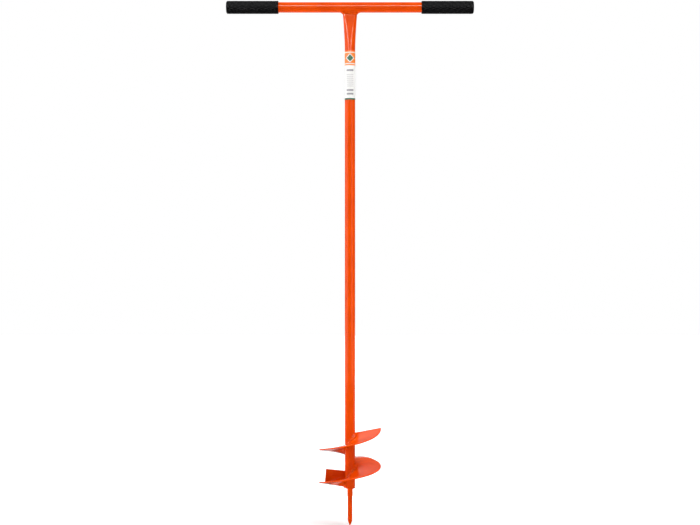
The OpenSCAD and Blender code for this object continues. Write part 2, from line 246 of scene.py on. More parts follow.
# On a weld the film runs thin over the ripples and gathers between them, so its tone is mottled
steel_paint = powder_coat(
    "orange powder coat on steel", dark="#d94400", light="#e44b00",
    tone_size=45 * MM, peel_size=2.2 * MM, peel_height=0.03 * MM,
)
weld_paint = powder_coat(
    "orange powder coat on weld", dark="#c63d00", light="#e64d00",
    tone_size=3.5 * MM, peel_size=1.6 * MM, peel_height=0.2 * MM,
)


def grip_vinyl():
    """Soft vinyl, moulded in one piece: near black, with a fine dull skin that shows only a weak sheen."""
    material, tree, surface = new_material("black moulded vinyl")
    grain_size = 1.2 * MM
    grain_height = 0.05 * MM
    bloom_size = 18 * MM
    place = add(tree, "ShaderNodeTexCoord").outputs["Object"]
    grain = add(tree, "ShaderNodeTexNoise", {"Vector": place, "Scale": 1 / grain_size, "Detail": 3})
    bloom = add(tree, "ShaderNodeTexNoise", {"Vector": place, "Scale": 1 / bloom_size, "Detail": 2})
    ramp = add(tree, "ShaderNodeValToRGB", {"Fac": bloom})
    ramp.color_ramp.elements[0].position = 0.3
    ramp.color_ramp.elements[0].color = linear("#050507")
    ramp.color_ramp.elements[1].position = 0.7
    ramp.color_ramp.elements[1].color = linear("#0c0c0f")
    dullness = add(tree, "ShaderNodeMapRange", {"Value": grain, "To Min": 0.32, "To Max": 0.55})
    bump = add(tree, "ShaderNodeBump", {"Strength": 0.4, "Distance": grain_height, "Height": grain})
    tree.links.new(ramp.outputs[0], surface.inputs["Base Color"])
    tree.links.new(dullness.outputs[0], surface.inputs["Roughness"])
    tree.links.new(bump.outputs[0], surface.inputs["Normal"])
    surface.inputs["Specular IOR Level"].default_value = 0.13
    return material


vinyl = grip_vinyl()


def printed_film():
    """Printed polyester film: satin white, with an orange head, green diamonds and grey and green lines."""
    material, tree, surface = new_material("printed label film")
    cell = 26 * MM
    head_foot = 83 * MM
    head_lines = (86 * MM, 113 * MM)
    head_line_height = 2 * MM
    diamond_middle = 100.5 * MM
    diamond_reach = 8.5 * MM
    diamond_border = 2.5 * MM
    rule_half = 9 * MM
    title_rule = (69 * MM, 73 * MM)
    thin_rules = spread(32 * MM, 60 * MM, 7)
    thin_rule_height = 1.4 * MM
    thick_rules = (12 * MM, 21 * MM)
    thick_rule_height = 4 * MM
    foot_line = 3.6 * MM
    bend_size = 9 * MM
    bend_height = 0.1 * MM
    place = add(tree, "ShaderNodeSeparateXYZ", {0: add(tree, "ShaderNodeUVMap", uv_map="print")})
    up = place.outputs["Y"]
    # The same cell is printed side by side round the shank, with the first one in front
    shifted = add(tree, "ShaderNodeMath", {0: place.outputs["X"], 1: cell / 2}, operation="ADD")
    wrapped = add(tree, "ShaderNodeMath", {0: shifted, 1: cell}, operation="FLOORED_MODULO")
    across = add(tree, "ShaderNodeMath", {0: wrapped, 1: cell / 2}, operation="SUBTRACT")
    aside = add(tree, "ShaderNodeMath", {0: across}, operation="ABSOLUTE")

    def block(half_width, low, high):
        """Cover of a printed block across the middle of the cell, between two heights."""
        in_width = add(tree, "ShaderNodeMath", {0: aside, 1: half_width}, operation="LESS_THAN")
        middle = (low + high) / 2
        in_height = add(tree, "ShaderNodeMath", {0: up, 1: middle, 2: high - middle}, operation="COMPARE")
        return add(tree, "ShaderNodeMath", {0: in_width, 1: in_height}, operation="MULTIPLY")

    def diamond(height, reach):
        """Cover of a printed square that stands on its corner."""
        above = add(tree, "ShaderNodeMath", {0: up, 1: height}, operation="SUBTRACT")
        rise = add(tree, "ShaderNodeMath", {0: above}, operation="ABSOLUTE")
        far = add(tree, "ShaderNodeMath", {0: aside, 1: rise}, operation="ADD")
        return add(tree, "ShaderNodeMath", {0: far, 1: reach}, operation="LESS_THAN")

    film = linear("#e6e6e3")
    orange = linear("#f2822e")
    green = linear("#0f6244")
    grey = linear("#8f8c92")
    pale_grey = linear("#b9b7b9")
    prints = [(block(cell, head_foot, label_height), orange)]
    prints += [(block(cell, low, low + head_line_height), film) for low in head_lines]
    prints += [(diamond(diamond_middle, diamond_reach + diamond_border), film)]
    prints += [(diamond(diamond_middle, diamond_reach), green)]
    prints += [(block(rule_half, *title_rule), grey)]
    prints += [(block(rule_half, low, low + thin_rule_height), pale_grey) for low in thin_rules]
    prints += [(block(rule_half, low, low + thick_rule_height), grey) for low in thick_rules]
    prints += [(block(cell, 0, foot_line), green)]
    # The ink lies on the film in order, each mark over the ones before it
    colour = film
    for cover, ink in prints:
        inked = add(tree, "ShaderNodeMix", {0: cover, 6: colour, 7: ink}, data_type="RGBA")
        colour = inked.outputs[2]
    object_place = add(tree, "ShaderNodeTexCoord").outputs["Object"]
    wave = add(tree, "ShaderNodeTexNoise", {"Vector": object_place, "Scale": 1 / bend_size, "Detail": 2})
    bump = add(tree, "ShaderNodeBump", {"Strength": 0.3, "Distance": bend_height, "Height": wave})
    gloss = add(tree, "ShaderNodeMapRange", {"Value": wave, "To Min": 0.25, "To Max": 0.4})
    tree.links.new(colour, surface.inputs["Base Color"])
    tree.links.new(gloss.outputs[0], surface.inputs["Roughness"])
    tree.links.new(bump.outputs[0], surface.inputs["Normal"])
    return material


label_film = printed_film()


# Geometry Nodes trees

def new_tree(name, sizes):
    """A tree with a geometry, named sizes and a material as inputs."""
    tree = bpy.data.node_groups.new(name, "GeometryNodeTree")
    tree.interface.new_socket("Geometry", in_out="OUTPUT", socket_type="NodeSocketGeometry")
    tree.interface.new_socket("Geometry", in_out="INPUT", socket_type="NodeSocketGeometry")
    for label, value in sizes.items():
        socket = tree.interface.new_socket(label, in_out="INPUT", socket_type="NodeSocketFloat")
        socket.default_value = value
    tree.interface.new_socket("Material", in_out="INPUT", socket_type="NodeSocketMaterial")
    return tree, tree.nodes.new("NodeGroupInput").outputs


def end_tree(tree, geometry, given):
    whole = add(tree, "GeometryNodeRealizeInstances", {"Geometry": geometry})
    painted = add(tree, "GeometryNodeSetMaterial", {"Geometry": whole, "Material": given["Material"]})
    add(tree, "NodeGroupOutput", {"Geometry": painted})


def use_tree(obj, tree, **values):
    """Puts a tree on an object. A value is named as the tree's input, with _ for a space."""
    modifier = obj.modifiers.new(tree.name, "NODES")
    modifier.node_group = tree
    for item in tree.interface.items_tree:
        key = item.name.replace(" ", "_").lower()
        if item.in_out == "INPUT" and key in values:
            modifier[item.identifier] = values[key]
    return obj


def screw_wrap_tree():
    """Winds flat work round the shank. In it x is the arc, y the radius and z the height off the sheet."""
    tree, given = new_tree("screw wrap", {
        "Outer Radius": flight_r,
        "Root Radius": tube_r,
        "Pitch": flight_pitch,
        "Foot": flight_foot,
        "Lead Angle": lead_angle,
        "Whole Arc": flight_arc,
        "Lead Droop": lead_droop,
        "Tail Lift": tail_lift,
        "Bend Arc": bend_arc,
        "Seam Arc": lower_arc,
        "Seam Dip": seam_dip,
        "Seam Bend Arc": seam_bend_arc,
    })
    flat = add(tree, "ShaderNodeSeparateXYZ", {0: add(tree, "GeometryNodeInputPosition")})
    arc, radius, height = flat.outputs
    # The inner corner of the leading edge droops, the outer corner of the top edge is bent up, and the
    # outer corners of the blanks hang where they meet
    from_top = add(tree, "ShaderNodeMath", {0: given["Whole Arc"], 1: arc}, operation="SUBTRACT")
    past_seam = add(tree, "ShaderNodeMath", {0: arc, 1: given["Seam Arc"]}, operation="SUBTRACT")
    from_seam = add(tree, "ShaderNodeMath", {0: past_seam}, operation="ABSOLUTE")
    inward = add(tree, "ShaderNodeMapRange", {
        "Value": radius,
        "From Min": given["Outer Radius"],
        "From Max": given["Root Radius"],
    })
    outward = add(tree, "ShaderNodeMath", {0: 1.0, 1: inward}, operation="SUBTRACT")
    bends = []
    for distance, reach, size, part in (
        (arc, "Bend Arc", "Lead Droop", inward),
        (from_top, "Bend Arc", "Tail Lift", outward),
        (from_seam, "Seam Bend Arc", "Seam Dip", outward),
    ):
        share = add(tree, "ShaderNodeMath", {0: distance, 1: given[reach]}, operation="DIVIDE")
        rest = add(tree, "ShaderNodeMath", {0: 1.0, 1: share}, operation="SUBTRACT", use_clamp=True)
        eased = add(tree, "ShaderNodeMath", {0: rest, 1: rest}, operation="MULTIPLY")
        whole = add(tree, "ShaderNodeMath", {0: eased, 1: given[size]}, operation="MULTIPLY")
        bends.append(add(tree, "ShaderNodeMath", {0: whole, 1: part}, operation="MULTIPLY"))
    droop, lift, dip = bends
    turns = add(tree, "ShaderNodeMath", {0: arc, 1: 360.0}, operation="DIVIDE")
    climb = add(tree, "ShaderNodeMath", {
        0: turns,
        1: given["Pitch"],
        2: given["Foot"],
    }, operation="MULTIPLY_ADD")
    drooped = add(tree, "ShaderNodeMath", {0: climb, 1: droop}, operation="SUBTRACT")
    lifted = add(tree, "ShaderNodeMath", {0: drooped, 1: lift}, operation="ADD")
    sheet = add(tree, "ShaderNodeMath", {0: lifted, 1: dip}, operation="SUBTRACT")
    # The sheet keeps its thickness, so heights off it grow where the screw gets steeper near the shank
    girth = add(tree, "ShaderNodeMath", {0: radius, 1: math.tau}, operation="MULTIPLY")
    steepness = add(tree, "ShaderNodeMath", {0: given["Pitch"], 1: girth}, operation="DIVIDE")
    square = add(tree, "ShaderNodeMath", {0: steepness, 1: steepness, 2: 1.0}, operation="MULTIPLY_ADD")
    stretch = add(tree, "ShaderNodeMath", {0: square}, operation="SQRT")
    z = add(tree, "ShaderNodeMath", {0: height, 1: stretch, 2: sheet}, operation="MULTIPLY_ADD")
    degrees = add(tree, "ShaderNodeMath", {0: arc, 1: given["Lead Angle"]}, operation="ADD")
    angle = add(tree, "ShaderNodeMath", {0: degrees}, operation="RADIANS")
    east = add(tree, "ShaderNodeMath", {0: angle}, operation="COSINE")
    north = add(tree, "ShaderNodeMath", {0: angle}, operation="SINE")
    x = add(tree, "ShaderNodeMath", {0: east, 1: radius}, operation="MULTIPLY")
    y = add(tree, "ShaderNodeMath", {0: north, 1: radius}, operation="MULTIPLY")
    place = add(tree, "ShaderNodeCombineXYZ", {"X": x, "Y": y, "Z": z})
    wound = add(tree, "GeometryNodeSetPosition", {"Geometry": given["Geometry"], "Position": place})
    end_tree(tree, wound, given)
    return tree


def weld_bead_tree():
    """Lays a rippled bead of oval section along each line of points."""
    steps_per_ripple = 6.0
    tree, given = new_tree("weld bead", {
        "Half Width": 3 * MM,
        "Half Height": 1.5 * MM,
        "Tilt": 0,
        "Ripple Pitch": 3 * MM,
        "Ripple Depth": 0.07,
        "End Taper": 4 * MM,
    })
    line = add(tree, "GeometryNodeMeshToCurve", {"Mesh": given["Geometry"]})
    step = add(tree, "ShaderNodeMath", {0: given["Ripple Pitch"], 1: steps_per_ripple}, operation="DIVIDE")
    even = add(tree, "GeometryNodeResampleCurve", {"Curve": line, "Length": step}, mode="LENGTH")
    level = add(tree, "GeometryNodeSetCurveNormal", {"Curve": even}, mode="Z_UP")
    run = add(tree, "GeometryNodeSplineParameter").outputs["Length"]
    whole = add(tree, "GeometryNodeSplineLength").outputs["Length"]
    wave_count = add(tree, "ShaderNodeMath", {0: run, 1: given["Ripple Pitch"]}, operation="DIVIDE")
    wave_angle = add(tree, "ShaderNodeMath", {0: wave_count, 1: math.tau}, operation="MULTIPLY")
    wave = add(tree, "ShaderNodeMath", {0: wave_angle}, operation="SINE")
    ripple = add(tree, "ShaderNodeMath", {
        0: wave,
        1: given["Ripple Depth"],
        2: 1.0,
    }, operation="MULTIPLY_ADD")
    to_end = add(tree, "ShaderNodeMath", {0: whole, 1: run}, operation="SUBTRACT")
    nearest = add(tree, "ShaderNodeMath", {0: run, 1: to_end}, operation="MINIMUM")
    taper = add(tree, "ShaderNodeMapRange", {
        "Value": nearest,
        "From Max": given["End Taper"],
        "To Min": 0.5,
        "To Max": 1.0,
    }, interpolation_type="SMOOTHSTEP")
    size = add(tree, "ShaderNodeMath", {0: ripple, 1: taper}, operation="MULTIPLY")
    ring = add(tree, "GeometryNodeCurvePrimitiveCircle", {"Resolution": 16, "Radius": 1.0})
    section = add(tree, "ShaderNodeCombineXYZ", {
        "X": given["Half Width"],
        "Y": given["Half Height"],
        "Z": 1.0,
    })
    turn = add(tree, "ShaderNodeMath", {0: given["Tilt"]}, operation="RADIANS")
    oval = add(tree, "GeometryNodeTransform", {
        "Geometry": ring,
        "Rotation": add(tree, "ShaderNodeCombineXYZ", {"Z": turn}),
        "Scale": section,
    })
    bead = add(tree, "GeometryNodeCurveToMesh", {
        "Curve": level,
        "Profile Curve": oval,
        "Scale": size,
        "Fill Caps": True,
    })
    end_tree(tree, bead, given)
    return tree


def weld_lumps_tree():
    """Makes a weld's skin lumpy, along its own normals."""
    tree, given = new_tree("weld lumps", {"Lump Size": 4 * MM, "Lump Height": 0.5 * MM})
    fineness = add(tree, "ShaderNodeMath", {0: 1.0, 1: given["Lump Size"]}, operation="DIVIDE")
    noise = add(tree, "ShaderNodeTexNoise", {"Scale": fineness, "Detail": 2.0})
    centred = add(tree, "ShaderNodeMath", {0: noise, 1: 0.5}, operation="SUBTRACT")
    rise = add(tree, "ShaderNodeMath", {0: centred, 1: given["Lump Height"]}, operation="MULTIPLY")
    outward = add(tree, "GeometryNodeInputNormal")
    offset = add(tree, "ShaderNodeVectorMath", {0: outward, "Scale": rise}, operation="SCALE")
    lumpy = add(tree, "GeometryNodeSetPosition", {"Geometry": given["Geometry"], "Offset": offset})
    end_tree(tree, lumpy, given)
    return tree


def diamond_relief_tree():
    """Presses crossed grooves into a grip that lies along X, so that diamonds stay raised between them."""
    groove_floor = 0.47
    skin_r = grip_r - 0.1 * MM
    tree, given = new_tree("diamond relief", {
        "Field Start": grip_inner_band,
        "Field End": grip_length - grip_outer_band,
        "Columns": diamond_columns,
        "Rows": diamond_rows,
        "Flat Top": 0.30,
        "Groove Depth": groove_depth,
    })
    spot = add(tree, "ShaderNodeSeparateXYZ", {0: add(tree, "GeometryNodeInputPosition")})
    x, y, z = spot.outputs
    along = add(tree, "ShaderNodeMapRange", {
        "Value": x,
        "From Min": given["Field Start"],
        "From Max": given["Field End"],
        "To Max": given["Columns"],
    })
    angle = add(tree, "ShaderNodeMath", {0: z, 1: y}, operation="ARCTAN2")
    turn = add(tree, "ShaderNodeMath", {0: angle, 1: math.tau}, operation="DIVIDE")
    around = add(tree, "ShaderNodeMath", {0: turn, 1: given["Rows"]}, operation="MULTIPLY")
    from_middle = []
    for operation in ("ADD", "SUBTRACT"):
        slant = add(tree, "ShaderNodeMath", {0: along, 1: around}, operation=operation)
        share = add(tree, "ShaderNodeMath", {0: slant, 1: 1.0}, operation="FLOORED_MODULO")
        middle = add(tree, "ShaderNodeMath", {0: share, 1: 0.5}, operation="SUBTRACT")
        from_middle.append(add(tree, "ShaderNodeMath", {0: middle}, operation="ABSOLUTE"))
    edge = add(tree, "ShaderNodeMath", {0: from_middle[0], 1: from_middle[1]}, operation="MAXIMUM")
    sunk = add(tree, "ShaderNodeMapRange", {
        "Value": edge,
        "From Min": given["Flat Top"],
        "From Max": groove_floor,
    }, interpolation_type="SMOOTHSTEP")
    depth = add(tree, "ShaderNodeMath", {0: sunk, 1: given["Groove Depth"]}, operation="MULTIPLY")
    after = add(tree, "ShaderNodeMath", {0: x, 1: given["Field Start"]}, operation="GREATER_THAN")
    before = add(tree, "ShaderNodeMath", {0: x, 1: given["Field End"]}, operation="LESS_THAN")
    field = add(tree, "ShaderNodeMath", {0: after, 1: before}, operation="MULTIPLY")
    off_axis = add(tree, "ShaderNodeCombineXYZ", {"Y": y, "Z": z})
    reach = add(tree, "ShaderNodeVectorMath", {0: off_axis}, operation="LENGTH").outputs["Value"]
    skin = add(tree, "ShaderNodeMath", {0: reach, 1: skin_r}, operation="GREATER_THAN")
    pressed = add(tree, "ShaderNodeMath", {0: field, 1: skin}, operation="MULTIPLY")
    sink = add(tree, "ShaderNodeMath", {0: depth, 1: pressed}, operation="MULTIPLY")
    outward = add(tree, "ShaderNodeVectorMath", {0: off_axis}, operation="NORMALIZE")
    back = add(tree, "ShaderNodeMath", {0: sink, 1: -1.0}, operation="MULTIPLY")
    offset = add(tree, "ShaderNodeVectorMath", {0: outward, "Scale": back}, operation="SCALE")
    relief = add(tree, "GeometryNodeSetPosition", {"Geometry": given["Geometry"], "Offset": offset})
    end_tree(tree, relief, given)
    return tree


screw_wrap = screw_wrap_tree()
weld_bead = weld_bead_tree()
weld_lumps = weld_lumps_tree()
diamond_relief = diamond_relief_tree()


# Shank and crossbar

def press_share(z):
    return min(1, max(0, (z - press_foot) / press_length)) ** press_curve


def press_depth(z):
    return 2 * tube_r - (2 * tube_r - press_thickness) * press_share(z)


def press_width(z):
    """The wall keeps its length around, so the tube grows wider as it is pressed thinner."""
    midline = math.pi * (2 * tube_r - tube_wall)
    return midline / 2 - (math.pi / 2 - 1) * (press_depth(z) - tube_wall) + tube_wall


def press_point(z, degrees, margin=0):
    """A point on the pressed tube's outside, moved out by a margin, at an angle round its rounded sides."""
    a = math.radians(degrees)
    straight = (press_width(z) - press_depth(z)) / 2
    r = press_depth(z) / 2 + margin
    return (math.copysign(straight, math.cos(a)) + r * math.cos(a), r * math.sin(a))


def shank_ring(z, margin, sides=96):
    ring = []
    for j in range(sides):
        x, y = press_point(z, (j + 0.5) * 360 / sides, margin)
        # The top is coped to sit under the round crossbar
        top = crossbar_z - math.sqrt(tube_r ** 2 - y ** 2)
        ring.append((x, y, z + (top - press_top) * press_share(z)))
    return ring


def build_shank():
    chamfer = 0.5 * MM
    flight_clear = 250 * MM
    plain_rings = 4
    pressed_rings = 40
    heights = [shank_foot + chamfer] + spread(flight_clear, press_foot, plain_rings)
    heights += spread(press_foot, press_top, pressed_rings)[1:]
    outer = [shank_ring(shank_foot, -chamfer)] + [shank_ring(z, 0) for z in heights]
    inner = [shank_ring(z, -tube_wall) for z in reversed([shank_foot] + heights[1:])]
    return loft("painted_shank", outer + inner, looped=True)


def build_crossbar():
    ends = (-crossbar_half, crossbar_half)
    bore_r = tube_r - tube_wall
    obj = turned("painted_crossbar", [
        (tube_r, ends[0]),
        (tube_r, ends[1]),
        (bore_r, ends[1]),
        (bore_r, ends[0]),
    ], looped=True)
    for vertex in obj.data.vertices:
        x, y, z = vertex.co
        vertex.co = (z, x, crossbar_z + y)
    return obj


dress(finish_mesh(build_shank()), steel_paint, "painted_steel", "shank_tube")
dress(finish_mesh(build_crossbar()), steel_paint, "painted_steel", "crossbar_tube")


# Grips

def build_grip(name, side):
    """A grip turned along +X from its inner end, then set on the end of the crossbar."""
    chamfer = 1 * MM
    sides = 240
    field_rings = 150
    corner_rings = 9
    field = spread(grip_inner_band, grip_length - grip_outer_band, field_rings)
    corner = [
        (
            grip_r - grip_rounding * (1 - math.cos(math.radians(a))),
            grip_length - grip_rounding * (1 - math.sin(math.radians(a))),
        )
        for a in spread(0, 90, corner_rings)
    ]
    outline = [
        (grip_bore_r, grip_length - grip_end_wall),
        (grip_bore_r, 0),
        (grip_r - chamfer, 0),
        (grip_r, chamfer),
    ]
    outline += [(grip_r, z) for z in field] + corner
    obj = turned(name, outline, sides)
    for vertex in obj.data.vertices:
        x, y, z = vertex.co
        vertex.co = (z, x, y)
    use_tree(obj, diamond_relief, material=vinyl)
    finish_mesh(obj, sharp_angle=50)
    for vertex in obj.data.vertices:
        x, y, z = vertex.co
        vertex.co = (side * (grip_start + x), side * y, crossbar_z + z)
    return obj


dress(build_grip("left_hand_grip", -1), vinyl, "grip", "left_grip")
dress(build_grip("right_hand_grip", 1), vinyl, "grip", "right_grip")


# Welds

weld_sharp_angle = 60


def joint_weld_ring(degrees):
    """The joint weld's section at one place round the pressed end: along the bar, then down to the shank."""
    steps = 10
    sunk = 0.3 * MM
    side_fullness = 0.12
    front_fullness = 0.45
    a = math.radians(degrees)
    bar_r = tube_r - sunk
    root_x, root_y = press_point(press_top, degrees, -sunk)
    root_angle = math.asin(root_y / bar_r)
    root = Vector((root_x, root_y, crossbar_z - bar_r * math.cos(root_angle)))
    along_bar = []
    for i in range(steps + 1):
        reach = (joint_weld_spread + sunk) * i / steps
        turn = root_angle + math.sin(a) * reach / bar_r
        along_bar.append(Vector((
            root_x + math.cos(a) * reach,
            bar_r * math.sin(turn),
            crossbar_z - bar_r * math.cos(turn),
        )))
    toe_z = root.z - joint_weld_drop
    toe = Vector((*press_point(toe_z, degrees, -sunk), toe_z))
    bar_toe = along_bar[-1]
    fullness = side_fullness + (front_fullness - side_fullness) * abs(math.sin(a))
    hollow = root + (bar_toe + toe - 2 * root) * fullness
    face = []
    for i in range(1, steps + 1):
        t = i / steps
        face.append(bar_toe * (1 - t) ** 2 + hollow * 2 * t * (1 - t) + toe * t ** 2)
    return along_bar + face


def build_joint_weld():
    stations = 120
    rings = [joint_weld_ring((i + 0.5) * 360 / stations) for i in range(stations)]
    obj = loft("joint_weld_bead", rings, looped=True)
    use_tree(obj, weld_lumps, material=weld_paint, lump_size=5 * MM, lump_height=1.4 * MM)
    return finish_mesh(obj, weld_sharp_angle)


# A fillet is laid as an oval bead tilted across the corner that it fills, in shares of its leg
fillet_middle = 0.36
fillet_half_width = 0.83
fillet_half_height = 0.38
fillet_tilt = 45


def lay_fillet(obj, leg, tilt):
    use_tree(
        obj, weld_bead, material=weld_paint, tilt=tilt,
        half_width=fillet_half_width * leg, half_height=fillet_half_height * leg,
    )
    use_tree(obj, weld_lumps, material=weld_paint)
    return finish_mesh(obj, weld_sharp_angle)


def circle_line(r, z):
    steps = 60
    return [polar(r, a, z) for a in spread(0, 360, steps + 1)]


dress(build_joint_weld(), weld_paint, "painted_weld", "crossbar_weld")


# Screw flight

def build_flight(name, first, last):
    """A flat blank with rounded edges, wound into the flight."""
    arc_step = 2
    edge_points = 5
    radial_points = 14
    rounding = 0.8 * MM
    half = flight_sheet / 2
    corner = [math.radians(a) for a in spread(0, 90, edge_points)]
    # Points lie closer together near the shank, where the screw is steeper
    radii = [tube_r * (flight_r / tube_r) ** s for s in spread(0, 1, radial_points)[:-1]]
    upper = [(r, half) for r in radii]
    upper += [
        (flight_r - rounding * (1 - math.sin(a)), half - rounding * (1 - math.cos(a)))
        for a in corner
    ]
    section = upper + [(r, -h) for r, h in reversed(upper)]
    arcs = spread(first, last, round((last - first) / arc_step) + 1)
    obj = loft(name, [[(arc, r, h) for r, h in section] for arc in arcs])
    use_tree(obj, screw_wrap, material=steel_paint)
    return finish_mesh(obj)


def shank_weld_line(first, last, side, leg):
    """Flat line of the weld between shank and flight, above the sheet (side 1) or under it (side -1)."""
    arc_step = 3
    middle = fillet_middle * leg
    arcs = spread(first, last, round((last - first) / arc_step) + 1)
    return [(arc, tube_r + middle, side * (flight_sheet / 2 + middle)) for arc in arcs]


def build_shank_weld(name, lines, tilt, leg=flight_weld_leg):
    obj = path(name, *lines)
    use_tree(obj, screw_wrap, material=weld_paint)
    return lay_fillet(obj, leg, tilt)


def build_seam():
    """The bead across the seam of the two blanks, half sunk into the sheet."""
    points = 24
    radii = spread(tube_r + flight_weld_leg / 2, flight_r - seam_weld_width / 4, points)
    obj = path("seam_bead", [(lower_arc, r, flight_sheet / 2) for r in radii])
    use_tree(obj, screw_wrap, material=weld_paint)
    use_tree(
        obj, weld_bead, material=weld_paint,
        half_width=seam_weld_width / 2, half_height=seam_weld_crown,
    )
    return finish_mesh(obj, weld_sharp_angle)


seam_half_angle = 0.25
under_spacing = (flight_arc - under_weld_arc) / (under_welds - 1)
under_margin = 2
under_starts = [i * under_spacing for i in range(under_welds)]
under_lines = [
    shank_weld_line(start + under_margin, start + under_weld_arc - under_margin, -1, flight_weld_leg)
    for start in under_starts
]
top_weld_start = stop_offset + 8
top_weld_end = flight_arc - 30
top_line = shank_weld_line(top_weld_start, top_weld_end, 1, flight_weld_leg)
# The weld is tied off with a heavier run before the flight's top end
end_leg = 1.5 * flight_weld_leg
end_arc = 32
end_line = shank_weld_line(top_weld_end - end_arc, top_weld_end, 1, end_leg)
lower_blank = build_flight("lower_screw_flight", 0, lower_arc - seam_half_angle)
upper_blank = build_flight("upper_screw_flight", lower_arc + seam_half_angle, flight_arc)
dress(lower_blank, steel_paint, "painted_steel", "lower_flight")
dress(upper_blank, steel_paint, "painted_steel", "upper_flight")
dress(build_seam(), weld_paint, "painted_weld", "flight_seam_weld")
top_bead = build_shank_weld("flight_top_bead", [top_line], fillet_tilt)
end_bead = build_shank_weld("flight_end_bead", [end_line], fillet_tilt, end_leg)
under_beads = build_shank_weld("flight_under_beads", under_lines, -fillet_tilt)
dress(top_bead, weld_paint, "painted_weld", "flight_top_weld")
dress(end_bead, weld_paint, "painted_weld", "flight_top_weld")
dress(under_beads, weld_paint, "painted_weld", "flight_under_weld")


# Soil stop plate

def sheet_height(arc, r):
    """Height of the middle of the sheet near the leading edge."""
    inward = (flight_r - r) / (flight_r - tube_r)
    return flight_foot + flight_pitch * arc / 360 - lead_droop * (1 - arc / bend_arc) ** 2 * inward


def build_stop_plate():
    """A sheared plate that stands square on the drooping sheet, with its foot sunk into it."""
    half = stop_sheet / 2
    shear_edge = 0.5 * MM
    droop = lead_droop * (1 - stop_offset / bend_arc) ** 2
    tilt = math.atan(droop / (flight_r - tube_r))
    turn = math.radians(lead_angle + stop_offset)
    rings = []
    for foot_r in (tube_r - half, stop_reach):
        foot_z = sheet_height(stop_offset, foot_r)
        lean = stop_height * math.sin(tilt) if foot_r == stop_reach else 0
        head_z = foot_z + flight_sheet / 2 + stop_height * math.cos(tilt)
        corners = [(foot_r - lean, half, head_z), (foot_r - lean, -half, head_z)]
        corners += [(foot_r, -half, foot_z), (foot_r, half, foot_z)]
        rings.append([
            (r * math.cos(turn) - across * math.sin(turn), r * math.sin(turn) + across * math.cos(turn), z)
            for r, across, z in corners
        ])
    obj = loft("stop_plate", rings)
    bevel = obj.modifiers.new("sheared edges", "BEVEL")
    bevel.width = shear_edge
    bevel.segments = 3
    return finish_mesh(obj)


def plate_weld_line(first_r, side):
    """Flat line of the weld along one side of the plate's foot."""
    points = 16
    middle = fillet_middle * stop_weld_leg
    across = side * (stop_sheet / 2 + middle)
    radii = spread(first_r, stop_reach - stop_weld_leg, points)
    return [(stop_offset + math.degrees(across / r), r, flight_sheet / 2 + middle) for r in radii]


def build_plate_weld(name, first_r, side):
    obj = path(name, plate_weld_line(first_r, side))
    use_tree(obj, screw_wrap, material=weld_paint)
    return lay_fillet(obj, stop_weld_leg, -fillet_tilt * side)


dress(build_stop_plate(), steel_paint, "painted_steel", "soil_stop_plate")
# Beside the leading edge the weld starts where the sheet is wide enough to carry it
lead_bead_start = 29 * MM
back_bead = build_plate_weld("stop_plate_back_bead", tube_r + flight_weld_leg, 1)
lead_bead = build_plate_weld("stop_plate_lead_bead", lead_bead_start, -1)
dress(back_bead, weld_paint, "painted_weld", "stop_plate_weld")
dress(lead_bead, weld_paint, "painted_weld", "stop_plate_weld")


# Spike and plug

def build_plug():
    gap = 0.2 * MM
    bore_r = spike_root_r + gap
    rim_r = tube_r - tube_wall - gap
    chamfer = 0.5 * MM
    return turned("shank_plug", [
        (rim_r - chamfer, shank_foot),
        (rim_r, shank_foot + chamfer),
        (rim_r, plug_top),
        (bore_r, plug_top),
        (bore_r, shank_foot),
    ], looped=True)


def build_spike():
    """A turned rod with a slightly thicker root and a ground point whose shoulder and tip are eased."""
    shoulder = 3 * MM
    shoulder_in = 0.3 * shoulder
    shoulder_down = 0.2 * shoulder
    tip_flat_r = 0.5 * spike_tip_r
    tip_height = 0.4 * MM
    step = spike_root_r - spike_r
    slope = (spike_r - spike_tip_r) / spike_point
    return turned("pilot_spike", [
        (tip_flat_r, 0),
        (spike_tip_r, tip_height),
        (spike_r - shoulder * slope, spike_point - shoulder),
        (spike_r - shoulder_in * slope, spike_point - shoulder_down),
        (spike_r, spike_point + shoulder),
        (spike_r, spike_root_foot - step),
        (spike_root_r, spike_root_foot),
        (spike_root_r, spike_head),
    ], sides=64)


def build_plug_weld():
    obj = path("plug_bead", circle_line(tube_r - tube_wall, shank_foot))
    use_tree(
        obj, weld_bead, material=weld_paint,
        half_width=plug_weld_width / 2, half_height=plug_weld_crown / 2,
    )
    return finish_mesh(obj, weld_sharp_angle)


def build_spike_weld():
    middle = fillet_middle * spike_weld_leg
    obj = path("spike_bead", circle_line(spike_root_r + middle, shank_foot - middle))
    return lay_fillet(obj, spike_weld_leg, -fillet_tilt)


dress(finish_mesh(build_plug()), steel_paint, "painted_steel", "end_plug")
dress(finish_mesh(build_spike(), sharp_angle=20), steel_paint, "painted_steel", "spike")
dress(build_plug_weld(), weld_paint, "painted_weld", "plug_weld")
dress(build_spike_weld(), weld_paint, "painted_weld", "spike_weld")


# Label

def build_label():
    """A thin wrap with its gap at the back and its print mapped in metres from the front's lower edge."""
    low = label_top - label_height
    inner_r = tube_r + label_gap
    outer_r = inner_r + label_sheet
    section = [(inner_r, low), (inner_r, label_top), (outer_r, label_top), (outer_r, low)]
    columns = 112
    turns = spread(-90 - label_arc / 2, -90 + label_arc / 2, columns)
    obj = loft("shank_label", [[polar(r, a, z) for r, z in section] for a in turns])
    print_map = obj.data.uv_layers.new(name="print")
    for loop, spot in zip(obj.data.loops, print_map.data):
        x, y, z = obj.data.vertices[loop.vertex_index].co
        spot.uv = (outer_r * math.atan2(x, -y), z - low)
    return finish_mesh(obj)


dress(build_label(), label_film, "label", "label_wrap")


# Floor, light and camera

